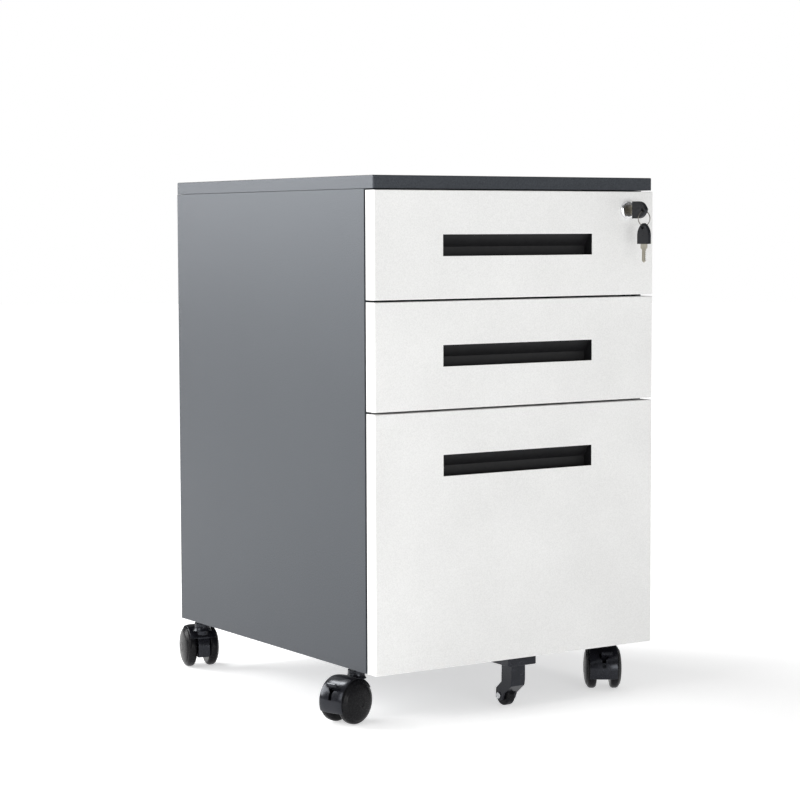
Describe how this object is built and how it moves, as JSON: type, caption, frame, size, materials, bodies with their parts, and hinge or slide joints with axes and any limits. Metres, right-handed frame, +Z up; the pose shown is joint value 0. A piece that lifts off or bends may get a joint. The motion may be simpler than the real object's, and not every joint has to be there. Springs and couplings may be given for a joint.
{
  "type": "rolling pedestal cabinet",
  "caption": "Steel office pedestal on swivel casters: lockable box drawers over a hanging-file drawer with an anti-tip wheel, recessed handles and keys.",
  "frame": {"origin": "on the floor, under the middle of the whole outline", "axes": "+Z up, -Y towards the front with the drawers, +X to the right seen from the front; +Z is the longest extent and +X the shortest"},
  "size_m": [0.4382, 0.5174, 0.6],
  "materials": {
    "graphite_powder_coat": "fine-textured dark graphite powder coat, satin",
    "white_powder_coat": "fine-textured off-white powder coat, satin",
    "zinc_plated_steel": "bright zinc plate",
    "black_abs": "moulded black ABS, fine grain",
    "black_nylon": "moulded black nylon, semi-gloss",
    "wheel_tread": "hard black nylon tread",
    "chrome": "polished chrome plate",
    "nickel_key": "nickel-plated brass key blank",
    "key_plastic": "moulded black plastic",
    "acetal": "natural acetal"
  },
  "bodies": {
    "cabinet": {"side_panel_left": "graphite_powder_coat", "side_panel_right": "graphite_powder_coat", "back_panel": "graphite_powder_coat", "top_cover": "graphite_powder_coat", "bottom_panel": "graphite_powder_coat", "front_rail": "graphite_powder_coat", "slide_posts": "graphite_powder_coat", "caster_channels": "graphite_powder_coat", "caster_stems": "zinc_plated_steel", "locking_bar_guides": "acetal", "drawer_1_slide_outer": "zinc_plated_steel", "drawer_2_slide_outer": "zinc_plated_steel", "drawer_3_slide_outer": "zinc_plated_steel"},
    "drawer_1": {"drawer_1_front": "white_powder_coat", "drawer_1_handle_cup": "black_abs", "drawer_1_tray": "white_powder_coat", "drawer_1_slide_inner": "zinc_plated_steel", "lock_housing": "chrome"},
    "drawer_2": {"drawer_2_front": "white_powder_coat", "drawer_2_handle_cup": "black_abs", "drawer_2_tray": "white_powder_coat", "drawer_2_slide_inner": "zinc_plated_steel"},
    "drawer_3": {"drawer_3_front": "white_powder_coat", "drawer_3_handle_cup": "black_abs", "drawer_3_tray": "white_powder_coat", "drawer_3_slide_inner": "zinc_plated_steel", "file_bars": "zinc_plated_steel", "anti_tip_bracket": "black_nylon"},
    "cages_1": {"drawer_1_slide_cages": "zinc_plated_steel"},
    "cages_2": {"drawer_2_slide_cages": "zinc_plated_steel"},
    "outer_cages_3": {"drawer_3_slide_outer_cages": "zinc_plated_steel"},
    "slide_middle_3": {"drawer_3_slide_middle": "zinc_plated_steel"},
    "inner_cages_3": {"drawer_3_slide_inner_cages": "zinc_plated_steel"},
    "lock_plug": {"lock_plug": "chrome", "lock_cam": "zinc_plated_steel"},
    "locking_bar": {"locking_bar": "zinc_plated_steel"},
    "key": {"key_blade": "nickel_key", "key_head": "key_plastic"},
    "key_ring": {"key_ring": "nickel_key"},
    "spare_key": {"spare_key_blade": "nickel_key", "spare_key_head": "key_plastic"},
    "caster_front_left": {"caster_front_left_hood": "black_nylon", "caster_front_left_axle": "zinc_plated_steel"},
    "caster_front_left_wheel_a": {"caster_front_left_wheel_a": "wheel_tread"},
    "caster_front_left_wheel_b": {"caster_front_left_wheel_b": "wheel_tread"},
    "caster_front_left_brake": {"caster_front_left_brake_lever": "black_nylon"},
    "caster_front_right": {"caster_front_right_hood": "black_nylon", "caster_front_right_axle": "zinc_plated_steel"},
    "caster_front_right_wheel_a": {"caster_front_right_wheel_a": "wheel_tread"},
    "caster_front_right_wheel_b": {"caster_front_right_wheel_b": "wheel_tread"},
    "caster_front_right_brake": {"caster_front_right_brake_lever": "black_nylon"},
    "caster_rear_left": {"caster_rear_left_hood": "black_nylon", "caster_rear_left_axle": "zinc_plated_steel"},
    "caster_rear_left_wheel_a": {"caster_rear_left_wheel_a": "wheel_tread"},
    "caster_rear_left_wheel_b": {"caster_rear_left_wheel_b": "wheel_tread"},
    "caster_rear_right": {"caster_rear_right_hood": "black_nylon", "caster_rear_right_axle": "zinc_plated_steel"},
    "caster_rear_right_wheel_a": {"caster_rear_right_wheel_a": "wheel_tread"},
    "caster_rear_right_wheel_b": {"caster_rear_right_wheel_b": "wheel_tread"},
    "anti_tip_wheel": {"anti_tip_wheel": "wheel_tread"}
  },
  "joints": [
    {"name": "drawer_1_slide", "type": "slide", "parent": "cabinet", "child": "drawer_1", "axis": [0, -1, 0], "range_m": [0, 0.28]},
    {"name": "drawer_2_slide", "type": "slide", "parent": "cabinet", "child": "drawer_2", "axis": [0, -1, 0], "range_m": [0, 0.28]},
    {"name": "drawer_3_slide", "type": "slide", "parent": "cabinet", "child": "drawer_3", "axis": [0, -1, 0], "range_m": [0, 0.38]},
    {"name": "cages_1_roll", "type": "slide", "parent": "cabinet", "child": "cages_1", "axis": [0, -1, 0], "range_m": [0, 0.14]},
    {"name": "cages_2_roll", "type": "slide", "parent": "cabinet", "child": "cages_2", "axis": [0, -1, 0], "range_m": [0, 0.14]},
    {"name": "outer_cages_3_roll", "type": "slide", "parent": "cabinet", "child": "outer_cages_3", "axis": [0, -1, 0], "range_m": [0, 0.095]},
    {"name": "slide_middle_3_slide", "type": "slide", "parent": "cabinet", "child": "slide_middle_3", "axis": [0, -1, 0], "range_m": [0, 0.19]},
    {"name": "inner_cages_3_roll", "type": "slide", "parent": "cabinet", "child": "inner_cages_3", "axis": [0, -1, 0], "range_m": [0, 0.285]},
    {"name": "lock_turn", "type": "hinge", "parent": "drawer_1", "child": "lock_plug", "pos_m": [0.152, -0.2195, 0.5632], "axis": [0, -1, 0], "range_deg": [0, 90]},
    {"name": "locking_bar_lift", "type": "slide", "parent": "cabinet", "child": "locking_bar", "axis": [0, 0, 1], "range_m": [0, 0.01061]},
    {"name": "key_withdraw", "type": "slide", "parent": "lock_plug", "child": "key", "axis": [0, -1, 0], "range_m": [0, 0.03]},
    {"name": "key_ring_swing", "type": "hinge", "parent": "key", "child": "key_ring", "pos_m": [0.152, -0.2504, 0.5632], "axis": [-1, 0, 0], "range_deg": [-15, 45]},
    {"name": "spare_key_swing", "type": "hinge", "parent": "key_ring", "child": "spare_key", "pos_m": [0.152, -0.2504, 0.5436], "axis": [-1, 0, 0], "range_deg": [-15, 45]},
    {"name": "caster_front_left_swivel", "type": "hinge", "parent": "cabinet", "child": "caster_front_left", "pos_m": [-0.172, -0.1495, 0.05], "axis": [0, 0, 1], "continuous": true},
    {"name": "caster_front_left_wheel_a_roll", "type": "hinge", "parent": "caster_front_left", "child": "caster_front_left_wheel_a", "pos_m": [-0.18834, -0.15419, 0.025], "axis": [0.2756, -0.9613, 0], "continuous": true},
    {"name": "caster_front_left_wheel_b_roll", "type": "hinge", "parent": "caster_front_left", "child": "caster_front_left_wheel_b", "pos_m": [-0.18834, -0.15419, 0.025], "axis": [0.2756, -0.9613, 0], "continuous": true},
    {"name": "caster_front_left_brake_press", "type": "hinge", "parent": "caster_front_left", "child": "caster_front_left_brake", "pos_m": [-0.20122, -0.15788, 0.03547], "axis": [0.2756, -0.9613, 0], "range_deg": [0, 12]},
    {"name": "caster_front_right_swivel", "type": "hinge", "parent": "cabinet", "child": "caster_front_right", "pos_m": [0.172, -0.1495, 0.05], "axis": [0, 0, 1], "continuous": true},
    {"name": "caster_front_right_wheel_a_roll", "type": "hinge", "parent": "caster_front_right", "child": "caster_front_right_wheel_a", "pos_m": [0.16267, -0.16371, 0.025], "axis": [0.8358, -0.549, 0], "continuous": true},
    {"name": "caster_front_right_wheel_b_roll", "type": "hinge", "parent": "caster_front_right", "child": "caster_front_right_wheel_b", "pos_m": [0.16267, -0.16371, 0.025], "axis": [0.8358, -0.549, 0], "continuous": true},
    {"name": "caster_front_right_brake_press", "type": "hinge", "parent": "caster_front_right", "child": "caster_front_right_brake", "pos_m": [0.15531, -0.17491, 0.03547], "axis": [0.8358, -0.549, 0], "range_deg": [0, 12]},
    {"name": "caster_rear_left_swivel", "type": "hinge", "parent": "cabinet", "child": "caster_rear_left", "pos_m": [-0.172, 0.2105, 0.05], "axis": [0, 0, 1], "continuous": true},
    {"name": "caster_rear_left_wheel_a_roll", "type": "hinge", "parent": "caster_rear_left", "child": "caster_rear_left_wheel_a", "pos_m": [-0.16809, 0.22704, 0.025], "axis": [-0.9732, 0.23, 0], "continuous": true},
    {"name": "caster_rear_left_wheel_b_roll", "type": "hinge", "parent": "caster_rear_left", "child": "caster_rear_left_wheel_b", "pos_m": [-0.16809, 0.22704, 0.025], "axis": [-0.9732, 0.23, 0], "continuous": true},
    {"name": "caster_rear_right_swivel", "type": "hinge", "parent": "cabinet", "child": "caster_rear_right", "pos_m": [0.172, 0.2105, 0.05], "axis": [0, 0, 1], "continuous": true},
    {"name": "caster_rear_right_wheel_a_roll", "type": "hinge", "parent": "caster_rear_right", "child": "caster_rear_right_wheel_a", "pos_m": [0.18798, 0.21631, 0.025], "axis": [-0.342, 0.9397, 0], "continuous": true},
    {"name": "caster_rear_right_wheel_b_roll", "type": "hinge", "parent": "caster_rear_right", "child": "caster_rear_right_wheel_b", "pos_m": [0.18798, 0.21631, 0.025], "axis": [-0.342, 0.9397, 0], "continuous": true},
    {"name": "anti_tip_wheel_roll", "type": "hinge", "parent": "drawer_3", "child": "anti_tip_wheel", "pos_m": [0.008, -0.1825, 0.0132], "axis": [1, 0, 0], "continuous": true}
  ],
  "couplings": [
    {"joint": "cages_1_roll", "follows": "drawer_1_slide", "ratio": 0.5},
    {"joint": "cages_2_roll", "follows": "drawer_2_slide", "ratio": 0.5},
    {"joint": "outer_cages_3_roll", "follows": "drawer_3_slide", "ratio": 0.25},
    {"joint": "slide_middle_3_slide", "follows": "drawer_3_slide", "ratio": 0.5},
    {"joint": "inner_cages_3_roll", "follows": "drawer_3_slide", "ratio": 0.75},
    {"joint": "lock_turn", "follows": "locking_bar_lift", "rad_per_m": 148.1}
  ]
}
